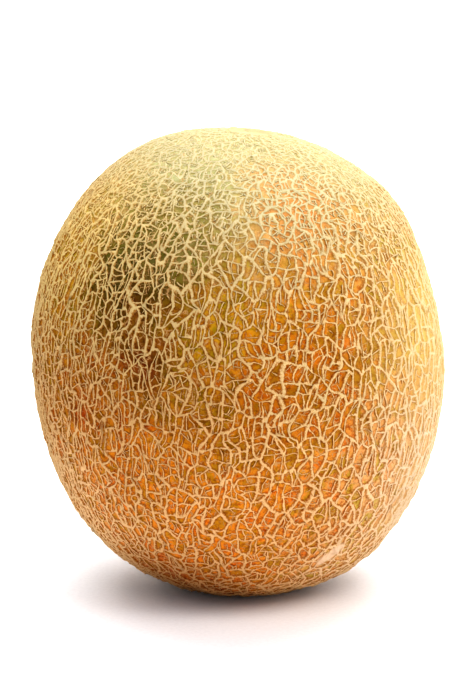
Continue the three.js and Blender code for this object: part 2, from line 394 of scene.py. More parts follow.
class CoarseNet:
    """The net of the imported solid: where it crosses, and the loop of crossings round each cell."""

    def __init__(self, solid):
        self.read_triangles(solid)
        self.find_middle()
        self.find_ridges()
        self.walk_loops()

    def read_triangles(self, solid):
        """The solid's triangles, with the corners that lie in one place joined."""
        mesh = solid.data
        mesh.calc_loop_triangles()
        points = np.empty(len(mesh.vertices) * 3)
        mesh.vertices.foreach_get("co", points)
        points = points.reshape(-1, 3)
        corners = np.empty(len(mesh.loop_triangles) * 3, dtype=np.int32)
        mesh.loop_triangles.foreach_get("vertices", corners)
        rounded = np.round(points / SAME_POINT).astype(int)
        _, first, same = np.unique(rounded, axis=0, return_index=True, return_inverse=True)
        self.points = points[first]
        self.triangles = same.reshape(-1)[corners].reshape(-1, 3)

    def find_middle(self):
        """The middle that puts the bare parts of the solid on the rind's formula."""
        middle = np.array([0, 0, FLAT_DROP])
        for _ in range(MIDDLE_STEPS):
            offsets = self.points - middle
            directions = unit(offsets)
            raised = np.linalg.norm(offsets, axis=1) - rind_radius(directions)
            bare = np.abs(raised) < BARE_WITHIN
            middle = middle + np.linalg.lstsq(directions[bare], raised[bare], rcond=None)[0]
        self.middle = middle
        self.raised = raised

    def find_ridges(self):
        """Ridges join points that stand over the rind, and aren't flat across."""
        a, b, c = (self.points[self.triangles[:, i]] for i in range(3))
        normals = unit(np.cross(b - a, c - a))
        beside = {}
        for number, corners in enumerate(self.triangles.tolist()):
            for start, end in zip(corners, corners[1:] + corners[:1]):
                beside.setdefault((min(start, end), max(start, end)), []).append(number)
        tops = (self.raised > RIDGE_OVER) | (self.points[:, 2] < SAME_POINT)
        self.next_to = {}
        for (start, end), (left, right) in beside.items():
            folded = normals[left] @ normals[right] < 1 - FLAT_ACROSS
            if tops[start] and tops[end] and folded:
                self.next_to.setdefault(start, []).append(end)
                self.next_to.setdefault(end, []).append(start)

    def walk_loops(self):
        """Walks round every cell with the cell on the left."""
        for point, others in self.next_to.items():
            out = unit(self.points[point] - self.middle)
            across = unit(np.cross((0.3, 0.5, 1.0), out))
            up = np.cross(out, across)
            runs = self.points[others] - self.points[point]
            order = np.argsort(np.arctan2(runs @ up, runs @ across))
            self.next_to[point] = [others[i] for i in order]
        self.loops = []
        waiting = {(a, b) for a, others in self.next_to.items() for b in others}
        while waiting:
            start = min(waiting)
            loop = []
            here = start
            while here in waiting:
                waiting.remove(here)
                loop.append(here[0])
                others = self.next_to[here[1]]
                onward = others[others.index(here[0]) - 1]
                here = (here[1], onward)
            self.loops.append(loop)


# ---------------------------------------------------------------- the fine net


def wander(directions):
    """Bends the straight strands into the loose, wavering lines of a real net."""
    for size, reach, seed in WANDERINGS:
        places = directions * HALF_WIDTH * MEAN_OVER_HALF_WIDTH
        directions = unit(places + Waves(seed, size, reach).sideways(places))
    return directions


class Chart:
    """A flat map of the rind round one direction, in which every strand is a straight line."""

    def __init__(self, out):
        self.out = unit(out)
        self.across = unit(np.cross((0, 0, 1), self.out))
        self.up = np.cross(self.out, self.across)
        self.scale = float(rind_radius(self.out[None])[0])

    def flatten(self, directions):
        """Places on the map, in metres."""
        depth = directions @ self.out
        places = np.stack([directions @ self.across, directions @ self.up], -1)
        return places * (self.scale / depth[..., None])

    def lift(self, places):
        """The directions of places on the map."""
        places = places / self.scale
        return unit(self.out + places[..., :1] * self.across + places[..., 1:] * self.up)


class Strand:
    """One straight run of the net, with the points on it by their share of its length."""

    def __init__(self, start, end, half_width, rise, fade):
        self.stops = [(0.0, start), (1.0, end)]
        self.half_width = half_width
        self.rise = rise
        self.fade = fade

    def fullness(self, shares):
        """1 where the strand is at its full size, and 0 where it has sunk into the rind."""
        if self.fade == WHOLE:
            return np.ones_like(shares)
        if self.fade == BURIED:
            return np.zeros_like(shares)
        fading = smoothstep(0, FADE_SHARE, 1 - shares)
        if self.fade == ISLET:
            fading = fading * smoothstep(0, FADE_SHARE, shares)
        return fading


class FineNet:
    """Splits cells by straight strands that meet the older ones at crossings of their own."""

    def __init__(self, seed):
        self.draw = random.Random(seed)
        self.directions = []
        self.strands = []
        self.cells = []

    def add_point(self, direction):
        """A new point, given by its number."""
        self.directions.append(direction)
        return len(self.directions) - 1

    def add_strand(self, start, end, half_width, rise, fade=WHOLE):
        """A new strand between two points, given by its number."""
        self.strands.append(Strand(start, end, half_width, rise, fade))
        return len(self.strands) - 1

    def add_stop(self, strand, direction):
        """A new point where a direction meets a strand."""
        first = self.directions[self.strands[strand].stops[0][1]]
        last = self.directions[self.strands[strand].stops[1][1]]
        before = np.linalg.norm(np.cross(first, direction))
        after = np.linalg.norm(np.cross(direction, last))
        point = self.add_point(direction)
        self.strands[strand].stops.append((before / (before + after), point))
        return point

    def ridge_size(self, upright, level):
        """Half-width and rise: thick where a strand runs up the fruit, thin where it runs round."""
        widening = (UP_HALF_WIDTH - ROUND_HALF_WIDTH) * upright**UPRIGHT_POWER
        half_width = ROUND_HALF_WIDTH + widening
        level_width = LEVEL_WIDTHS[min(level, len(LEVEL_WIDTHS) - 1)]
        half_width *= self.draw.uniform(*WIDTH_SPREAD) * level_width
        return half_width, RIDGE_RISE * (LEAST_RISE + WIDTH_RISE * half_width / UP_HALF_WIDTH)

    def split(self, chart, corners, area_wanted, level=1):
        """Splits a cell until its parts are about as large as wanted there."""
        places = chart.flatten(np.array([self.directions[p] for p, _ in corners]))
        centroid, area = centroid_of(places)
        if area > area_wanted * self.draw.choice(SPLIT_OVER):
            tallness = cell_tallness_at(chart.out)
            best = best_cut(self.draw, places, centroid, tallness, LEAST_GAP, DIAGONAL_COST)
            if best:
                last = area < area_wanted * LAST_SPLIT_UNDER
                for half in self.cut(chart, corners, best, level, last):
                    self.split(chart, half, area_wanted, level + 1)
                return
        self.cells.append((chart, corners))

    def cut(self, chart, corners, best, level, last):
        """Lays a strand across a cell, and gives the two cells that it leaves."""
        _, (first, second), meets = best
        run = meets[1] - meets[0]
        upright = abs(run[1]) / np.linalg.norm(run)
        start, end = (
            self.add_stop(corners[i][1], chart.lift(meet))
            for i, meet in zip((first, second), meets)
        )
        half_width, rise = self.ridge_size(upright, level)
        fade = self.draw.choices(LAST_KINDS, STRAND_ODDS)[0] if last else WHOLE
        if self.draw.random() < 0.5:
            strand = self.add_strand(start, end, half_width, rise, fade)
        else:
            strand = self.add_strand(end, start, half_width, rise, fade)
        one = [(start, corners[first][1]), *corners[first + 1 : second + 1], (end, strand)]
        two = [(end, corners[second][1]), *corners[second + 1 :], *corners[: first + 1]]
        return one, two + [(start, strand)]

    def fill_strands(self):
        """Sorts each strand's stops and adds more, so that no step is longer than STEP_LENGTH."""
        for strand in self.strands:
            strand.stops.sort()
            filled = strand.stops[:1]
            for share, point in strand.stops[1:]:
                before, start = filled[-1]
                a, b = self.directions[start], self.directions[point]
                length = np.linalg.norm(a - b) * HALF_WIDTH * MEAN_OVER_HALF_WIDTH
                steps = math.ceil(length / STEP_LENGTH)
                for step in range(1, steps):
                    part = step / steps
                    between = self.add_point(unit(a + (b - a) * part))
                    filled.append((before + (share - before) * part, between))
                filled.append((share, point))
            strand.stops = filled
            strand.place = {point: i for i, (_, point) in enumerate(filled)}

    def bend_strands(self):
        """Bows every strand a little, but less where two would cross."""
        self.straight = np.array(self.directions)
        bows = []
        for _ in self.strands:
            bow = self.draw.uniform(-BOW_REACH, BOW_REACH)
            bows.append((bow, self.draw.uniform(-SWAY_REACH, SWAY_REACH)))
        bows = np.array(bows) * BOW
        for _ in range(BEND_TRIES):
            self.bow_strands(bows)
            crossing = self.crossing_strands()
            if not crossing:
                break
            bows[crossing] *= BOW_EASING

    def bow_strands(self, bows):
        """Bows the strands, and carries along what hangs on them."""
        straight = self.straight
        bent = straight.copy()
        for strand, (bow, sway) in zip(self.strands, bows):
            points = np.array([point for _, point in strand.stops])
            shares = np.array([share for share, _ in strand.stops])[:, None]
            start, end = points[0], points[-1]
            start_shift = bent[start] - straight[start]
            end_shift = bent[end] - straight[end]
            aside = np.cross(straight[start], straight[end] - straight[start])
            lean = bow * np.sin(math.pi * shares) + sway * np.sin(2 * math.pi * shares)
            shift = start_shift * (1 - shares) + end_shift * shares + lean * aside
            bent[points[1:-1]] = unit(straight[points[1:-1]] + shift[1:-1])
        self.directions = wander(bent)

    def crossing_strands(self):
        """The strands round every cell that has been squeezed shut or folded over itself."""
        crossing = set()
        for chart, corners in self.cells:
            points = [strand.stops[place][1] for strand, place, _ in self.steps_round(corners)]
            before = centroid_of(chart.flatten(self.straight[points]))[1]
            places = chart.flatten(self.directions[points])
            middle, after = centroid_of(places)
            spokes = places - middle
            slices = np.cross(spokes, np.roll(spokes, -1, axis=0)) / 2
            if after < SQUEEZED_UNDER * before or slices.min() < -FOLDED_OVER * after:
                crossing.update(number for _, number in corners)
        return sorted(crossing)

    def size_stops(self, ridge_height):
        """The half-width and the rise of every strand at each of its stops."""
        thickness = Waves(*THICKNESS_WAVES)
        beading = Waves(*BEADING_WAVES)
        directions = self.directions
        self.rises = np.zeros(len(directions))
        self.cork = np.zeros(len(directions))
        for strand in self.strands:
            shares = np.array([share for share, _ in strand.stops])
            points = np.array([point for _, point in strand.stops])
            places = directions[points] * HALF_WIDTH
            swell = 1 + thickness(places) + beading(places)
            full = strand.fullness(shares)
            half_widths = strand.half_width * swell * full**FADE_POWER
            strand.half_widths = np.maximum(half_widths, LEAST_HALF_WIDTH)
            np.maximum.at(self.rises, points, strand.rise * swell * full)
            np.maximum.at(self.cork, points, smoothstep(0, CORK_FADE, full))
        self.rises *= relief_at(directions) * ridge_height

    def steps_round(self, corners):
        """Every step round a cell: its strand, and the stops where it starts and ends."""
        for (point, number), (onward, _) in zip(corners, corners[1:] + corners[:1]):
            strand = self.strands[number]
            here, there = strand.place[point], strand.place[onward]
            step = 1 if there > here else -1
            for place in range(here, there, step):
                yield strand, place, place + step

    def ring_of(self, corners):
        """Every point round a cell, and the half-width of the ridge that follows it."""
        points, widths = [], []
        for strand, here, there in self.steps_round(corners):
            points.append(strand.stops[here][1])
            widths.append((strand.half_widths[here] + strand.half_widths[there]) / 2)
        return points, np.array(widths)


def centroid_of(places):
    """The middle of a flat polygon, and its area."""
    x, y = places[:, 0], places[:, 1]
    x1, y1 = np.roll(x, -1), np.roll(y, -1)
    slices = x * y1 - x1 * y
    area = slices.sum() / 2
    return np.array([((x + x1) * slices).sum(), ((y + y1) * slices).sum()]) / (6 * area), area


def best_cut(draw, places, centroid, tallness, least_gap, diagonal_cost):
    """The best of a few random cuts: short for an upright cell, and square to both its ends."""
    best = None
    size = np.ptp(places, axis=0)
    sizes = places * (tallness**0.5, tallness**-0.5)
    for _ in range(SPLIT_TRIES):
        lean = draw.uniform(0, math.pi)
        run = np.array([math.cos(lean), math.sin(lean)])
        aside = np.array([-run[1], run[0]])
        offset = draw.uniform(-CUT_OFFSET, CUT_OFFSET) * (size @ np.abs(aside))
        sides = (places - centroid) @ aside - offset
        after = np.roll(sides, -1)
        crossed = np.flatnonzero((sides > 0) != (after > 0))
        if len(crossed) != 2:
            continue
        following = (crossed + 1) % len(places)
        share = (sides[crossed] / (sides[crossed] - sides[following]))[:, None]
        edges = places[following] - places[crossed]
        lengths = np.linalg.norm(edges, axis=1)
        if (np.minimum(share, 1 - share)[:, 0] * lengths).min() < least_gap:
            continue
        meets = places[crossed] + edges * share
        square = np.maximum(np.abs(edges @ aside) / lengths, LEAST_SQUARENESS)
        stretched = sizes[crossed] + (sizes[following] - sizes[crossed]) * share
        score = np.linalg.norm(stretched[1] - stretched[0])
        score /= (square[0] * square[1]) ** SQUARENESS_POWER
        score *= 1 + diagonal_cost * math.sin(2 * lean) ** 2
        if best is None or score < best[0]:
            best = (score, crossed, meets)
    return best


def cell_feet(places, widths):
    """Where the ridges round a cell come down to its floor, in the chart.

    A foot lies on the line from the middle to its point on the crest, no nearer to any ridge
    close by than half of that ridge's width. Also gives how much room there is in the middle.
    """
    after = np.roll(places, -1, axis=0)
    runs = after - places
    outward = unit(np.stack([runs[:, 1], -runs[:, 0]], -1))
    centre, area = centroid_of(places)
    tries = centre + MIDDLE_TRIES * np.ptp(places, axis=0) * TRY_SPAN
    reaches = (places * outward).sum(1) - tries @ outward.T
    best = np.argmax(reaches.min(axis=1))
    centre = tries[best]
    reach = np.maximum(reaches[best], LEAST_REACH)
    widths = np.minimum(widths, WIDEST_SHARE * reach)
    toward = (places - centre) @ outward.T
    slopes = np.maximum(reach - widths, LEAST_SLOPE * reach)
    shares = slopes / np.maximum(toward, LEAST_TOWARD)
    from_middle = np.linalg.norm(places[:, None] - ((places + after) / 2)[None], axis=2)
    half_runs = np.linalg.norm(runs, axis=1)[None] / 2
    close = from_middle < half_runs + CLOSE_WIDTHS * widths[None] + CLOSE_MARGIN
    shares = np.where(close, shares, TOO_FAR)
    share = (np.maximum(shares, LEAST_SHARE) ** -SOFTENING).sum(1) ** (-1 / SOFTENING)
    feet = centre + (places - centre) * np.clip(share, *FOOT_SHARES)[:, None]
    inward = -unit(outward + np.roll(outward, 1, axis=0) + NO_ZERO)
    near = np.minimum(widths, np.roll(widths, 1))
    near = np.minimum(near, max(reach.min(), UNFOLDED_REACH))[:, None]
    for depth in UNFOLDED_DEPTHS:
        folded = crossed_feet(places, feet, runs, outward)[:, None]
        feet = np.where(folded, places + inward * near * depth, feet)
    if centroid_of(feet)[1] < LEAST_FLOOR * area:
        feet = places + inward * near * depth
    return feet, reach.min()


def crossed_feet(places, feet, runs, outward):
    """Which feet have crossed a neighbour's, or the crest."""
    steps = np.roll(feet, -1, axis=0) - feet
    here = ((feet - places) * outward).sum(1) > 0
    there = ((np.roll(feet, -1, axis=0) - places) * outward).sum(1) > 0
    folded = ((runs * steps).sum(1) < 0) | here | there
    return folded | np.roll(folded, 1)


# ---------------------------------------------------------------- growing the rind


def lay_coarse_net(net, coarse):
    """Puts the solid's ridges into the fine net, and gives the loops as corners of cells."""
    out = unit(coarse.points - coarse.middle)
    used = sorted(coarse.next_to)
    point_of = {old: net.add_point(out[old]) for old in used}
    strand_of = {}
    for start in used:
        for end in coarse.next_to[start]:
            if start < end:
                chart = Chart(out[start] + out[end])
                run = np.diff(chart.flatten(out[[start, end]]), axis=0)[0]
                size = net.ridge_size(abs(run[1]) / np.linalg.norm(run), 0)
                strand_of[start, end] = net.add_strand(point_of[start], point_of[end], *size)
    loops = []
    for loop in coarse.loops:
        ends = zip(loop, loop[1:] + loop[:1])
        sides = [strand_of[min(a, b), max(a, b)] for a, b in ends]
        loops.append([(point_of[old], side) for old, side in zip(loop, sides)])
    return loops


def cell_area_at(direction):
    """How large the cells are: finest round the crown and on the left, widest low on the right."""
    x, y, z = direction
    share = 1.0 - 0.5 * smoothstep(0.45, 0.9, z)
    share *= 1.0 - 0.22 * smoothstep(0.1, 0.9, -x - 0.3 * y)
    share *= 1.0 + 0.35 * smoothstep(0.2, 0.9, x - 0.5 * z)
    share *= 1.0 + 0.15 * smoothstep(0.1, 0.6, y)
    return CELL_AREA * share


def cell_tallness_at(direction):
    """How much taller than wide the cells are: even round the ends, and stretched between them."""
    x, _, z = direction
    share = 1.0 - smoothstep(0.4, 0.85, z) - smoothstep(0.62, 0.92, -z)
    return 1.2 + share * (1.0 + 0.9 * smoothstep(0.2, 0.8, abs(x)))


def lined_area_at(direction):
    """How large a part of a cell the thin lines leave bare: smallest on the crown."""
    share = 1.0 - 0.6 * smoothstep(0.4, 0.8, direction[2])
    return cell_area_at(direction) * share * LINED_AREA / CELL_AREA


def relief_at(directions):
    """How high the net stands: lower on the crown and on the right, where painted glare pales the
    fruit.
    """
    x, _, z = directions.T
    return 1.0 - 0.4 * smoothstep(0.6, 0.95, z) - 0.35 * smoothstep(0.75, 0.98, x)


def add_hub(net, loop, middle, radius, rise):
    """A round hub inside a patch that the net leaves bare, tied to its rim by radial strands."""
    rim = [point for point, _ in loop]
    hub = []
    for point in rim:
        direction = net.directions[point]
        share = radius / HALF_HEIGHT / np.arccos(direction @ middle)
        hub.append(net.add_point(unit(middle + (direction - middle) * share)))
    ties = []
    for i, (a, b) in enumerate(zip(rim, hub)):
        fade = WHOLE if i % 2 else BURIED
        ties.append(net.add_strand(a, b, ROUND_HALF_WIDTH, TIE_RISE * RIDGE_RISE, fade))
    count = len(rim)
    sides = []
    for i in range(count):
        sides.append(net.add_strand(hub[i], hub[(i + 1) % count], HUB_HALF_WIDTH, rise))
    quads = []
    for i in range(count):
        j = (i + 1) % count
        quads.append([loop[i], (rim[j], ties[j]), (hub[j], sides[i]), (hub[i], ties[i])])
    return quads, sides


def grow_net(coarse, settings):
    """The whole fine net, and the middle and the sides of the hub of each scar."""
    net = FineNet(settings.seed)
    hubs = {}
    for loop in lay_coarse_net(net, coarse):
        directions = np.array([net.directions[point] for point, _ in loop])
        out = unit(directions.mean(0))
        area = cell_area_at(out) * settings.cell_size
        if len(loop) <= PATCH_CORNERS:
            net.split(Chart(out), loop, area)
            continue
        if out[2] < 0:
            name, middle, size = "blossom", out, BLOSSOM_HUB
        else:
            name, middle, size = "stem", stem_scar_middle(coarse), STEM_HUB
        quads, sides = add_hub(net, loop, middle, *size)
        hubs[name] = (middle, sides)
        for quad in quads:
            around = np.array([net.directions[point] for point, _ in quad])
            net.split(Chart(around.mean(0)), quad, area)
    net.fill_strands()
    net.bend_strands()
    net.size_stops(settings.ridge_height)
    return net, hubs


def stem_scar_middle(coarse):
    """The lowest dip of the solid near its crown."""
    high = coarse.points[:, 2] > coarse.middle[2]
    deepest = np.argmin(np.where(high, coarse.raised, 0))
    return unit(coarse.points[deepest] - coarse.middle)


# ---------------------------------------------------------------- the mesh of the rind


class Growth:
    """Points and faces on the rind, with what its material needs to know at each point."""

    def __init__(self, seed):
        self.draw = random.Random(seed)
        self.directions = []
        self.raised = []
        self.cork = []
        self.tone = []
        self.scar = []
        self.faces = []

    def add_point(self, direction, raised, cork, tone, scar=0.0):
        """A new point, given by its number."""
        self.directions.append(direction)
        self.raised.append(raised)
        self.cork.append(cork)
        self.tone.append(tone)
        self.scar.append(scar)
        return len(self.directions) - 1

    def points(self, middle):
        """Every point in its place, with the foot of the fruit pressed flat where it rests."""
        directions = np.array(self.directions)
        raised = np.array(self.raised)
        radius = rind_radius(directions) + raised
        points = middle + directions * radius[:, None]
        bed = FLAT_BED * (1 - np.clip(raised / RIDGE_RISE, 0, 1))
        points[:, 2] = np.maximum(points[:, 2], bed)
        return points

    def make_object(self, name, middle):
        """The piece, with what its material reads stored at each point."""
        mesh = bpy.data.meshes.new(name)
        mesh.from_pydata(self.points(middle).tolist(), [], self.faces)
        for label, values in (("cork", self.cork), ("tone", self.tone), ("scar", self.scar)):
            layer = mesh.attributes.new(label, "FLOAT", "POINT")
            layer.data.foreach_set("value", np.array(values, dtype=np.float32))
        mesh.polygons.foreach_set("use_smooth", [True] * len(mesh.polygons))
        piece = bpy.data.objects.new(name, mesh)
        bpy.context.collection.objects.link(piece)
        mesh.update()
        return piece


class Rind(Growth):
    """The closed skin of the fruit with its net."""

    def __init__(self, net, seed):
        super().__init__(seed)
        self.net = net
        for direction, rise, cork in zip(net.directions, net.rises, net.cork):
            self.add_point(direction, rise, cork, 0.5)

    def add_cell(self, chart, corners):
        """Slopes from the crests round a cell down to its floor, and the floor itself."""
        points, widths = self.net.ring_of(corners)
        places = chart.flatten(self.net.directions[points])
        feet, room = cell_feet(places, widths)
        floor = NARROW_FLOOR * (1 - smoothstep(*NARROW_ROOM, room))
        tone = self.draw.random()
        lowest = [self.add_point(direction, floor, 0.0, tone) for direction in chart.lift(feet)]
        count = len(points)
        for i in range(count):
            j = (i + 1) % count
            self.faces.append((points[i], points[j], lowest[j], lowest[i]))
        self.faces.append(lowest)

    def add_scar(self, middle, sides, profile):
        """Fills a hub with rings that follow its profile."""
        ring = []
        for side in sides:
            ring += [point for _, point in self.net.strands[side].stops[:-1]]
        rim = np.array([self.net.directions[point] for point in ring])
        for point in ring:
            self.scar[point] = 1.0
        count = len(ring)
        cracks = [self.draw.gauss(0, 1) for _ in ring]
        for share, height in profile:
            directions = unit(middle + (rim - middle) * share)
            rough = SCAR_ROUGHNESS * (1 - abs(2 * share - 1))
            lower = [
                self.add_point(direction, height + rough * crack, 1.0, 0.5, 1.0)
                for direction, crack in zip(directions, cracks)
            ]
            for i in range(count):
                j = (i + 1) % count
                self.faces.append((ring[i], ring[j], lower[j], lower[i]))
            ring = lower
        hub = self.add_point(middle, profile[-1][1], 1.0, 0.5, 1.0)
        for i in range(count):
            self.faces.append((ring[i], ring[(i + 1) % count], hub))


class FineLines(Growth):
    """Thin lines of cork, each a low three-sided ridge that is sunk into the skin of its cell."""

    def __init__(self, seed, ridge_height):
        super().__init__(seed)
        self.ridge_height = ridge_height

    def split(self, chart, places, area_wanted):
        """Parts a cell by thin lines, until its parts are about as large as wanted there."""
        centroid, area = centroid_of(places)
        if area < area_wanted * self.draw.choice(SPLIT_OVER):
            return
        tallness = cell_tallness_at(chart.out)
        best = best_cut(self.draw, places, centroid, tallness, LINE_GAP, LINE_DIAGONAL_COST)
        if not best:
            return
        _, (first, second), meets = best
        self.lay_line(chart, meets[0], meets[1])
        one = [meets[0], *places[first + 1 : second + 1], meets[1]]
        two = [meets[1], *places[second + 1 :], *places[: first + 1], meets[0]]
        self.split(chart, np.array(one), area_wanted)
        self.split(chart, np.array(two), area_wanted)

    def lay_line(self, chart, start, end):
        """A line across a cell, which may fade out at one end or at both."""
        if self.draw.random() < 0.5:
            start, end = end, start
        run = end - start
        length = np.linalg.norm(run)
        aside = np.array([-run[1], run[0]]) / length
        upright = abs(run[1]) / length
        fade = self.draw.choices(LAST_KINDS, LINE_ODDS)[0]
        first = self.draw.uniform(*ISLET_STARTS) if fade == ISLET else 0.0
        last = self.draw.uniform(*FREE_ENDS) if fade != WHOLE else 1.0
        count = max(2, math.ceil(length * (last - first) / LINE_STEP))
        shares = np.linspace(first, last, count + 1)
        bend = self.draw.gauss(0, LINE_BEND) * length * np.sin(math.pi * shares)
        bend += self.draw.gauss(0, LINE_SWAY) * MM * np.sin(2 * math.pi * shares)
        bend += [self.draw.gauss(0, LINE_SHAKE) * MM for _ in shares]
        crest = start + run * shares[:, None] + aside * bend[:, None]
        size = self.draw.uniform(*LINE_SIZES) * (ROUND_LINE + UPRIGHT_GAIN * upright)
        sizes = np.array([size * self.draw.uniform(*LINE_STOP_SIZES) for _ in shares])
        along = np.linspace(0, 1, count + 1)
        if fade != WHOLE:
            sizes *= (1 + TIP_SIZE - along) ** TIP_POWER
        if fade == ISLET:
            sizes *= (TIP_SIZE + along) ** TIP_POWER * ISLET_GAIN
        foot = aside * (sizes * LINE_HALF_WIDTH)[:, None]
        tops = chart.lift(crest)
        heights = LINE_RISE * np.minimum(sizes, TALLEST_LINE) * relief_at(tops)
        heights *= self.ridge_height
        rows = zip(chart.lift(crest + foot), tops, chart.lift(crest - foot), heights)
        before = None
        for left, top, right, height in rows:
            here = (
                self.add_point(left, -LINE_SINK, LINE_FOOT_CORK, 0.5),
                self.add_point(top, height, 1.0, 0.5),
                self.add_point(right, -LINE_SINK, LINE_FOOT_CORK, 0.5),
            )
            if before:
                for i in range(3):
                    j = (i + 1) % 3
                    self.faces.append((before[i], before[j], here[j], here[i]))
            else:
                self.faces.append((here[0], here[2], here[1]))
            before = here
        self.faces.append(before)


def add_bake_map(piece, middle):
    """Maps the rind on the six sides of a cube round it, side by side in one square."""
    mesh = piece.data
    points = np.empty(len(mesh.vertices) * 3)
    mesh.vertices.foreach_get("co", points)
    away = points.reshape(-1, 3) - middle
    corners = np.empty(len(mesh.loops), dtype=np.int32)
    mesh.loops.foreach_get("vertex_index", corners)
    sizes = np.empty(len(mesh.polygons), dtype=np.int32)
    mesh.polygons.foreach_get("loop_total", sizes)
    centres = np.empty(len(mesh.polygons) * 3)
    mesh.polygons.foreach_get("center", centres)
    centres = centres.reshape(-1, 3) - middle
    axis = np.argmax(np.abs(centres), axis=1)
    facing = centres[np.arange(len(axis)), axis] > 0
    axis, facing = np.repeat(axis, sizes), np.repeat(facing, sizes)
    rows = np.arange(len(corners))
    here = away[corners]
    depth = np.abs(here[rows, axis])
    across, up = (
        np.arctan(here[rows, (axis + step) % 3] / depth) / (math.pi / 2) * MAP_SHARE + 0.5
        for step in (1, 2)
    )
    places = np.stack([(axis + across) / 3, (facing + up) / 2], -1)
    layer = mesh.uv_layers.new(name="OFBake")
    layer.data.foreach_set("uv", places.astype(np.float32).ravel())


# ---------------------------------------------------------------- materials


def colour(code):
    """A colour written as sRGB hex, in the linear values that the shaders take."""
    parts = [int(code[i : i + 2], 16) / 255 for i in (0, 2, 4)]
    linear = [p / 12.92 if p <= 0.04045 else ((p + 0.055) / 1.055) ** 2.4 for p in parts]
    return (*linear, 1.0)


def new_material(name):
    """A material with an empty node tree."""
    material = bpy.data.materials.new(name)
    material.use_nodes = True
    tree = material.node_tree
    tree.nodes.clear()
    return material, tree


def add_node(tree, kind, links=(), output=None, **settings):
    """Adds a node, and gives its first output in use or the one that is named.

    Settings name the node's properties. Links are values or other nodes' outputs for its
    inputs, either by name or in the order of the inputs in use.
    """
    node = tree.nodes.new("ShaderNode" + kind)
    for name, value in settings.items():
        setattr(node, name, value)
    if isinstance(links, dict):
        pairs = [(node.inputs[name], value) for name, value in links.items()]
    else:
        pairs = zip([socket for socket in node.inputs if socket.enabled], links)
    for socket, value in pairs:
        if isinstance(value, bpy.types.NodeSocket):
            tree.links.new(value, socket)
        else:
            socket.default_value = value
    if output:
        return node.outputs[output]
    return next((socket for socket in node.outputs if socket.enabled), None)


# Settings that many nodes share: a soft step, a blend of two colours, and a glaze of one over
# the other. A noise's links are its place, 1 over the width of its features, its detail and
# its roughness
SOFT_STEP = {"interpolation_type": "SMOOTHSTEP"}
BLEND = {"data_type": "RGBA"}
GLAZE = {"data_type": "RGBA", "blend_type": "MULTIPLY"}


def wandering_place(tree, place, size, reach):
    """Object coordinates, shifted about by noise, so that what they draw has no hard outline."""
    stir = add_node(tree, "TexNoise", (place, 1 / size, 4.0, 0.55), output="Color")
    centred = add_node(tree, "VectorMath", (stir, (0.5, 0.5, 0.5)), operation="SUBTRACT")
    scaled = add_node(tree, "VectorMath", (centred, reach), operation="SCALE")
    return add_node(tree, "VectorMath", (place, scaled), operation="ADD")


def zone(tree, place, centre, reach, softness):
    """1 inside a ball round centre, and 0 outside it, with a soft border."""
    away = add_node(tree, "VectorMath", (place, Vector(centre) * MM), operation="DISTANCE")
    border = softness * reach * MM
    links = (away, reach * MM - border, reach * MM + border, 1.0, 0.0)
    return add_node(tree, "MapRange", links, **SOFT_STEP)


def tint_zones(tree, place, shade, zones):
    """Blends a shade into the colour of each zone in turn."""
    for centre, reach, softness, tint, strength in zones:
        inside = zone(tree, place, centre, reach, softness)
        share = add_node(tree, "Math", (inside, strength), operation="MULTIPLY")
        shade = add_node(tree, "Mix", (share, shade, colour(tint)), **BLEND)
    return shade


def painted_glare_share(tree, place):
    """How far painted glare pales the skin and the cork, standing for the strong light on the crown
    and the right side.
    """
    total = 0.0
    for centre, reach in PAINTED_GLARE_ZONES:
        share = zone(tree, place, centre, reach, PAINTED_GLARE_SOFTNESS)
        total = add_node(tree, "Math", (total, share), operation="MAXIMUM")
    return total


def healed_share(tree, place):
    """1 on the smooth streaks where the skin was once scratched and has healed."""
    total = 0.0
    for centre, turn, size, strength in HEALED_STREAKS:
        turn = [math.radians(angle) for angle in turn]
        links = (place, Vector(centre) * MM, turn, Vector(size) * MM)
        inside = add_node(tree, "Mapping", links, vector_type="TEXTURE")
        away = add_node(tree, "VectorMath", (inside,), operation="LENGTH")
        patches = add_node(tree, "TexNoise", (place, 1 / STREAK_EDGE_SIZE, 3.0, 0.55))
        rough = add_node(tree, "Math", (patches, 0.8), operation="MULTIPLY")
        ragged = add_node(tree, "Math", (away, rough), operation="ADD")
        share = add_node(tree, "MapRange", (ragged, 1.0, 1.5, strength, 0.0), **SOFT_STEP)
        total = add_node(tree, "Math", (total, share), operation="MAXIMUM")
    return total


def skin_colours(tree, place, painted_glare, settings):
    """The ripening colours of the skin, from one blurred zone to the next, with its flecks; a few
    zones hold painted light and painted shade as well.
    """
    cloud = add_node(tree, "TexNoise", (place, 1 / RIPENING_SIZE, 4.0, 0.55))
    ripe = add_node(tree, "MapRange", (cloud, 0.38, 0.62), **SOFT_STEP)
    shade = add_node(tree, "Mix", (ripe, settings.skin_gold, settings.skin_amber), **BLEND)
    stirred = wandering_place(tree, place, ZONE_WANDER_SIZE, ZONE_WANDER_REACH)
    shade = tint_zones(tree, stirred, shade, SKIN_ZONES)
    fleck = add_node(tree, "TexNoise", (place, 1 / FLECK_SIZE, 4.0, 0.65))
    # Painted glare: the flecks fade where strong light washes the fruit out
    lost = add_node(tree, "Math", (painted_glare, 0.65), operation="MULTIPLY")
    strength = add_node(tree, "Math", (0.75, lost), operation="SUBTRACT")
    for tint, step in FLECKS:
        there = add_node(tree, "MapRange", (fleck, *step), **SOFT_STEP)
        share = add_node(tree, "Math", (there, strength), operation="MULTIPLY")
        shade = add_node(tree, "Mix", (share, shade, colour(tint)), **GLAZE)
    return shade


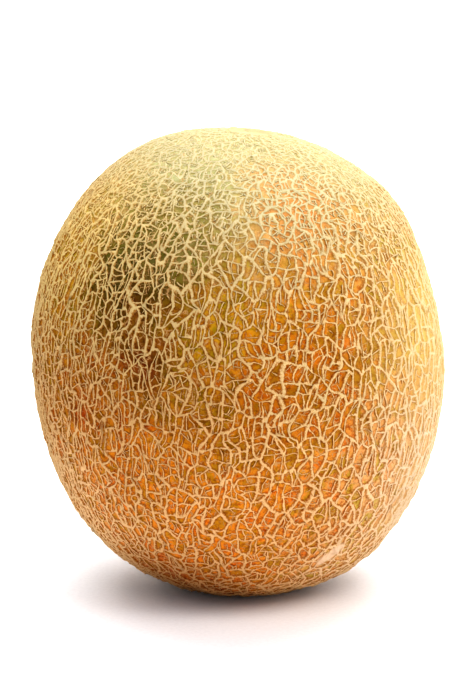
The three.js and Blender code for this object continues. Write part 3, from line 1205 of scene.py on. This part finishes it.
def skin_cracks(tree, place):
    """Hairline cracks in some parts of the skin, where cork has only begun to grow."""
    stirred = wandering_place(tree, place, CRACK_WANDER, CRACK_WANDER)
    links = {"Vector": stirred, "Scale": 1 / CRACK_SPACING}
    edge = add_node(tree, "TexVoronoi", links, feature="DISTANCE_TO_EDGE")
    crack = add_node(tree, "MapRange", (edge, 0.02, 0.09, 0.8, 0.0), **SOFT_STEP)
    patches = add_node(tree, "TexNoise", (place, 1 / CRACK_PATCH_SIZE, 3.0, 0.55))
    there = add_node(tree, "MapRange", (patches, 0.46, 0.56), **SOFT_STEP)
    return add_node(tree, "Math", (crack, there), operation="MULTIPLY")


def skin_shade(tree, place, raised, painted_glare, mottle, cracks, settings):
    """The skin with its mottling, its cracks and painted shade in a brown line along the foot of the
    net.
    """
    shade = skin_colours(tree, place, painted_glare, settings)
    # Painted glare: the mottling is paler where strong light washes the fruit out
    dimming = add_node(tree, "Mix", (painted_glare, colour(MOTTLE), colour(PALE_MOTTLE)), **BLEND)
    share = add_node(tree, "MapRange", (mottle, 0.34, 0.56, 1.0, 0.0), **SOFT_STEP)
    shade = add_node(tree, "Mix", (share, shade, dimming), **GLAZE)
    tone = add_node(tree, "Attribute", output="Fac", attribute_name="tone")
    share = add_node(tree, "Math", (tone, 0.13), operation="MULTIPLY")
    shade = add_node(tree, "Mix", (share, shade, colour(SKIN_PALE)), **BLEND)
    shade = add_node(tree, "Mix", (cracks, shade, settings.cork_tan), **BLEND)
    # Painted shade: a brown line along the foot of every ridge, weaker where painted glare washes
    # the fruit out
    painted_foot_shade = add_node(tree, "MapRange", (raised, 0.0, 0.14, 0.0, 0.4), **SOFT_STEP)
    lost = add_node(tree, "Math", (painted_glare, 0.7), operation="MULTIPLY")
    kept = add_node(tree, "Math", (1.0, lost), operation="SUBTRACT")
    share = add_node(tree, "Math", (painted_foot_shade, kept), operation="MULTIPLY")
    return add_node(tree, "Mix", (share, shade, colour(SEAM_PAINTED_SHADE)), **GLAZE)


def cork_shade(tree, place, height, painted_glare, fibre, settings):
    """The cork with its pale fibres, its weathered grey patches, and painted shade that darkens the
    low flanks of its ridges and leaves their crests lighter.
    """
    share = add_node(tree, "MapRange", (fibre, 0.32, 0.62), **SOFT_STEP)
    shade = add_node(tree, "Mix", (share, settings.cork_tan, settings.cork_pale), **BLEND)
    weathered = add_node(tree, "TexNoise", (place, 1 / WEATHERED_SIZE, 3.0, 0.55))
    share = add_node(tree, "MapRange", (weathered, 0.52, 0.7, 0.0, 0.5), **SOFT_STEP)
    shade = add_node(tree, "Mix", (share, shade, colour(CORK_GREY)), **BLEND)
    shade = tint_zones(tree, place, shade, CORK_ZONES)
    # Painted shade: the ridges' low flanks darker than their crests, weaker where painted glare
    # washes the fruit out
    dimming = add_node(tree, "Mix", (painted_glare, colour(PAINTED_FLANK_SHADE), colour(PAINTED_FLANK_SHADE_PALE)), **BLEND)
    share = add_node(tree, "MapRange", (height, 0.36, 0.8, 1.0, 0.0), **SOFT_STEP)
    return add_node(tree, "Mix", (share, shade, dimming), **GLAZE)


def make_rind_material(settings):
    """Waxed melon skin, with raised lines of matt, fibrous cork.

    The eye gets two surfaces from it. The skin lies deep, with a soft gleam and a little light
    under it, so its gold and amber look moist. The cork is dry, pale and ragged at its edges,
    with a fine grain and no gleam, so the net stands out even where the light is flat.
    """
    material, tree = new_material("Netted_rind")
    place = add_node(tree, "TexCoord", output="Object")
    raised = add_node(tree, "Attribute", output="Fac", attribute_name="cork")
    crumbs = add_node(tree, "TexNoise", (place, 1 / CRUMB_SIZE, 4.0, 0.65))
    centred = add_node(tree, "Math", (crumbs, 0.5), operation="SUBTRACT")
    ragged = add_node(tree, "Math", (centred, CRUMB_STRENGTH), operation="MULTIPLY")
    height = add_node(tree, "Math", (raised, ragged), operation="ADD")
    cork = add_node(tree, "MapRange", (height, *CORK_EDGE), **SOFT_STEP)
    # Painted glare: the crown and the right side washed out as by strong light
    painted_glare = painted_glare_share(tree, place)
    healed = healed_share(tree, place)
    scarred = add_node(tree, "Attribute", output="Fac", attribute_name="scar")

    mottle = add_node(tree, "TexNoise", (place, 1 / MOTTLE_SIZE, 5.0, 0.7))
    fibre = add_node(tree, "TexNoise", (place, 1 / FIBRE_SIZE, 4.0, 0.7))
    cracks = skin_cracks(tree, place)
    skin = skin_shade(tree, place, raised, painted_glare, mottle, cracks, settings)
    net = cork_shade(tree, place, height, painted_glare, fibre, settings)
    shade = add_node(tree, "Mix", (cork, skin, net), **BLEND)
    shade = add_node(tree, "Mix", (healed, shade, colour(HEALED_PINK)), **BLEND)
    shade = add_node(tree, "Mix", (scarred, shade, colour(SCAR_BROWN)), **BLEND)

    wax = add_node(tree, "MapRange", (mottle, 0.3, 0.7, 0.55, 0.4), **SOFT_STEP)
    rough = add_node(tree, "Mix", (cork, wax, 0.85), data_type="FLOAT")
    lines = add_node(tree, "Math", (cracks, 1.2), operation="MULTIPLY")
    lines = add_node(tree, "Math", (lines, mottle), operation="ADD")
    grain = add_node(tree, "Math", (cork, 0.8), operation="MULTIPLY")
    grain = add_node(tree, "Math", (grain, fibre), operation="ADD")
    relief = add_node(tree, "Mix", (cork, lines, grain), data_type="FLOAT")
    links = {"Height": relief, "Distance": RIND_BUMP, "Strength": 0.8}
    bump = add_node(tree, "Bump", links)
    links = {
        "Base Color": shade,
        "Roughness": rough,
        "IOR": 1.45,
        "Specular IOR Level": 0.1,
        "Subsurface Weight": 0.06,
        "Subsurface Radius": (1.0, 0.5, 0.2),
        "Subsurface Scale": LIGHT_DEPTH,
        "Normal": bump,
    }
    surface = add_node(tree, "BsdfPrincipled", links)
    add_node(tree, "OutputMaterial", {"Surface": surface})
    return material


def make_floor_material():
    """Matt studio paper: an even white with the faint tooth of its surface, and no gleam."""
    material, tree = new_material("Studio_paper")
    place = add_node(tree, "TexCoord", output="Object")
    tooth = add_node(tree, "TexNoise", (place, 1 / TOOTH_SIZE, 4.0, 0.55))
    share = add_node(tree, "MapRange", (tooth, 0.3, 0.7), **SOFT_STEP)
    shade = add_node(tree, "Mix", (share, colour(PAPER_WHITE), colour(PAPER_BRIGHT)), **BLEND)
    links = {"Height": tooth, "Distance": PAPER_BUMP, "Strength": 0.3}
    bump = add_node(tree, "Bump", links)
    links = {"Base Color": shade, "Roughness": 0.75, "Normal": bump}
    surface = add_node(tree, "BsdfPrincipled", links)
    add_node(tree, "OutputMaterial", {"Surface": surface})
    return material


# ---------------------------------------------------------------- the add-on


class MelonRindSettings(bpy.types.PropertyGroup):
    """How the rind is grown and coloured."""

    seed: bpy.props.IntProperty(
        name="Seed",
        description="Which net grows between the coarse ridges",
        default=7,
    )
    cell_size: bpy.props.FloatProperty(
        name="Cell size",
        description="Area of the net's cells, as a share of their usual area",
        default=1.0,
        min=0.5,
        soft_max=3.0,
        subtype="FACTOR",
    )
    ridge_height: bpy.props.FloatProperty(
        name="Ridge height",
        description="Height of the net, as a share of its usual height",
        default=1.0,
        min=0.1,
        soft_max=2.0,
        subtype="FACTOR",
    )
    skin_gold: bpy.props.FloatVectorProperty(
        name="Skin gold",
        description="Colour of the less ripe skin",
        default=colour(SKIN_GOLD),
        size=4,
        min=0.0,
        max=1.0,
        subtype="COLOR",
    )
    skin_amber: bpy.props.FloatVectorProperty(
        name="Skin amber",
        description="Colour of the riper skin",
        default=colour(SKIN_AMBER),
        size=4,
        min=0.0,
        max=1.0,
        subtype="COLOR",
    )
    cork_tan: bpy.props.FloatVectorProperty(
        name="Cork tan",
        description="Colour of the cork between its fibres",
        default=colour(CORK_TAN),
        size=4,
        min=0.0,
        max=1.0,
        subtype="COLOR",
    )
    cork_pale: bpy.props.FloatVectorProperty(
        name="Cork pale",
        description="Colour of the cork's fibres",
        default=colour(CORK_PALE),
        size=4,
        min=0.0,
        max=1.0,
        subtype="COLOR",
    )


class MelonStageSettings(bpy.types.PropertyGroup):
    """How the fruit is seen."""

    lens: bpy.props.FloatProperty(
        name="Lens",
        description="Focal length in millimetres",
        default=110.0,
        unit="CAMERA",
    )
    distance: bpy.props.FloatProperty(
        name="Distance",
        description="From the camera to the fruit",
        default=0.783,
        subtype="DISTANCE",
    )
    elevation: bpy.props.FloatProperty(
        name="Elevation",
        description="How far the camera looks down",
        default=math.radians(10),
        subtype="ANGLE",
    )


class MELON_OT_grow_rind(bpy.types.Operator):
    """Grows the netted rind over the solid"""

    bl_idname = "melon.grow_rind"
    bl_label = "Grow Netted Rind"
    bl_options = {"REGISTER", "UNDO"}

    def execute(self, context):
        settings = context.scene.melon_rind
        coarse = CoarseNet(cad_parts[SOLID])
        net, hubs = grow_net(coarse, settings)
        rind = Rind(net, settings.seed + 1)
        lines = FineLines(settings.seed + 2, settings.ridge_height)
        for chart, corners in net.cells:
            rind.add_cell(chart, corners)
            points, _ = net.ring_of(corners)
            places = chart.flatten(net.directions[points])
            lines.split(chart, places, lined_area_at(chart.out) * settings.cell_size)
        rind.add_scar(*hubs["stem"], STEM_PROFILE)
        rind.add_scar(*hubs["blossom"], BLOSSOM_PROFILE)
        material = make_rind_material(settings)
        for name, growth in (("netted_rind", rind), ("fine_netting", lines)):
            piece = growth.make_object(name, coarse.middle)
            piece.data.materials.append(material)
            add_bake_map(piece, coarse.middle)
            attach(piece, "root")
            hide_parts(SOLID)
        return {"FINISHED"}


class MELON_OT_set_stage(bpy.types.Operator):
    """Sets the paper sweep, the lights and the camera"""

    bl_idname = "melon.set_stage"
    bl_label = "Set Studio Stage"
    bl_options = {"REGISTER", "UNDO"}

    def execute(self, context):
        floor = make_sweep()
        floor.data.materials.append(make_floor_material())
        for light in LIGHTS:
            add_softbox(*light)
        light_world(context.scene)
        aim_camera(context.scene, context.scene.melon_stage)
        return {"FINISHED"}


def make_sweep():
    """A sheet of paper that lies on the floor and curves up behind the fruit."""
    bpy.ops.object.select_all(action="DESELECT")
    bpy.ops.mesh.primitive_plane_add(size=SWEEP_WIDTH, location=(0, 0, 0))
    floor = bpy.context.object
    floor.name = "paper_sweep"
    bpy.ops.object.mode_set(mode="EDIT")
    bpy.ops.mesh.select_all(action="DESELECT")
    bpy.ops.object.mode_set(mode="OBJECT")
    for edge in floor.data.edges:
        ends = [floor.data.vertices[i].co.y for i in edge.vertices]
        edge.select = min(ends) > 0
    rise = (0, 0, SWEEP_WIDTH * SWEEP_RISE)
    bpy.ops.object.mode_set(mode="EDIT")
    bpy.ops.mesh.select_mode(type="EDGE")
    bpy.ops.mesh.extrude_region_move(TRANSFORM_OT_translate={"value": rise})
    bpy.ops.object.mode_set(mode="OBJECT")
    for edge in floor.data.edges:
        ends = [floor.data.vertices[i].co for i in edge.vertices]
        edge.select = all(end.y > 0 and end.z < MM for end in ends)
    bpy.ops.object.mode_set(mode="EDIT")
    bpy.ops.mesh.bevel(offset=SWEEP_WIDTH * SWEEP_BEND, segments=SWEEP_STEPS, affect="EDGES")
    bpy.ops.object.mode_set(mode="OBJECT")
    bpy.ops.object.shade_smooth()
    return floor


def add_softbox(name, place, size, power, tint, target):
    """A wide soft light that faces its target."""
    bpy.ops.object.light_add(type="AREA", location=place)
    lamp = bpy.context.object
    lamp.name = name
    lamp.data.shape = "RECTANGLE"
    lamp.data.size, lamp.data.size_y = size
    lamp.data.energy = power
    lamp.data.color = colour(tint)[:3]
    toward = Vector(target) - Vector(place)
    lamp.rotation_euler = toward.to_track_quat("-Z", "Y").to_euler()


def light_world(scene):
    """The even light of a white room, from every side."""
    world = bpy.data.worlds.new("Studio_air")
    scene.world = world
    world.use_nodes = True
    tree = world.node_tree
    tree.nodes.clear()
    sky = add_node(tree, "Background", {"Color": colour(AIR_TINT), "Strength": AIR_STRENGTH})
    add_node(tree, "OutputWorld", {"Surface": sky})


def aim_camera(scene, settings):
    """A camera in front of the fruit, aimed at its middle."""
    target = Vector(AIM) * MM
    back = Vector((0, -math.cos(settings.elevation), math.sin(settings.elevation)))
    bpy.ops.object.camera_add(location=target + back * settings.distance)
    camera = bpy.context.object
    camera.name = "camera"
    camera.rotation_euler = (-back).to_track_quat("-Z", "Y").to_euler()
    camera.data.lens = settings.lens
    camera.data.sensor_width = SENSOR_WIDTH
    scene.camera = camera
    scene.view_settings.view_transform = "Standard"
    scene.view_settings.look = "High Contrast"


class MELON_PT_panel(bpy.types.Panel):
    """Shows the settings, and the buttons that grow the rind and set the stage."""

    bl_label = "Melon"
    bl_idname = "MELON_PT_panel"
    bl_space_type = "VIEW_3D"
    bl_region_type = "UI"
    bl_category = "Melon"

    def draw(self, context):
        layout = self.layout
        for name in MelonRindSettings.__annotations__:
            layout.prop(context.scene.melon_rind, name)
        layout.operator(MELON_OT_grow_rind.bl_idname)
        for name in MelonStageSettings.__annotations__:
            layout.prop(context.scene.melon_stage, name)
        layout.operator(MELON_OT_set_stage.bl_idname)


CLASSES = (
    MelonRindSettings,
    MelonStageSettings,
    MELON_OT_grow_rind,
    MELON_OT_set_stage,
    MELON_PT_panel,
)


def register():
    """Makes the classes known, and hangs their settings on the scene."""
    for cls in CLASSES:
        bpy.utils.register_class(cls)
    bpy.types.Scene.melon_rind = bpy.props.PointerProperty(type=MelonRindSettings)
    bpy.types.Scene.melon_stage = bpy.props.PointerProperty(type=MelonStageSettings)


def unregister():
    """Takes away what register made."""
    del bpy.types.Scene.melon_stage
    del bpy.types.Scene.melon_rind
    for cls in reversed(CLASSES):
        bpy.utils.unregister_class(cls)


def main():
    """Makes every piece and the stage."""
    register()
    bpy.ops.melon.grow_rind()
    bpy.ops.melon.set_stage()


if __name__ == "__main__":
    main()
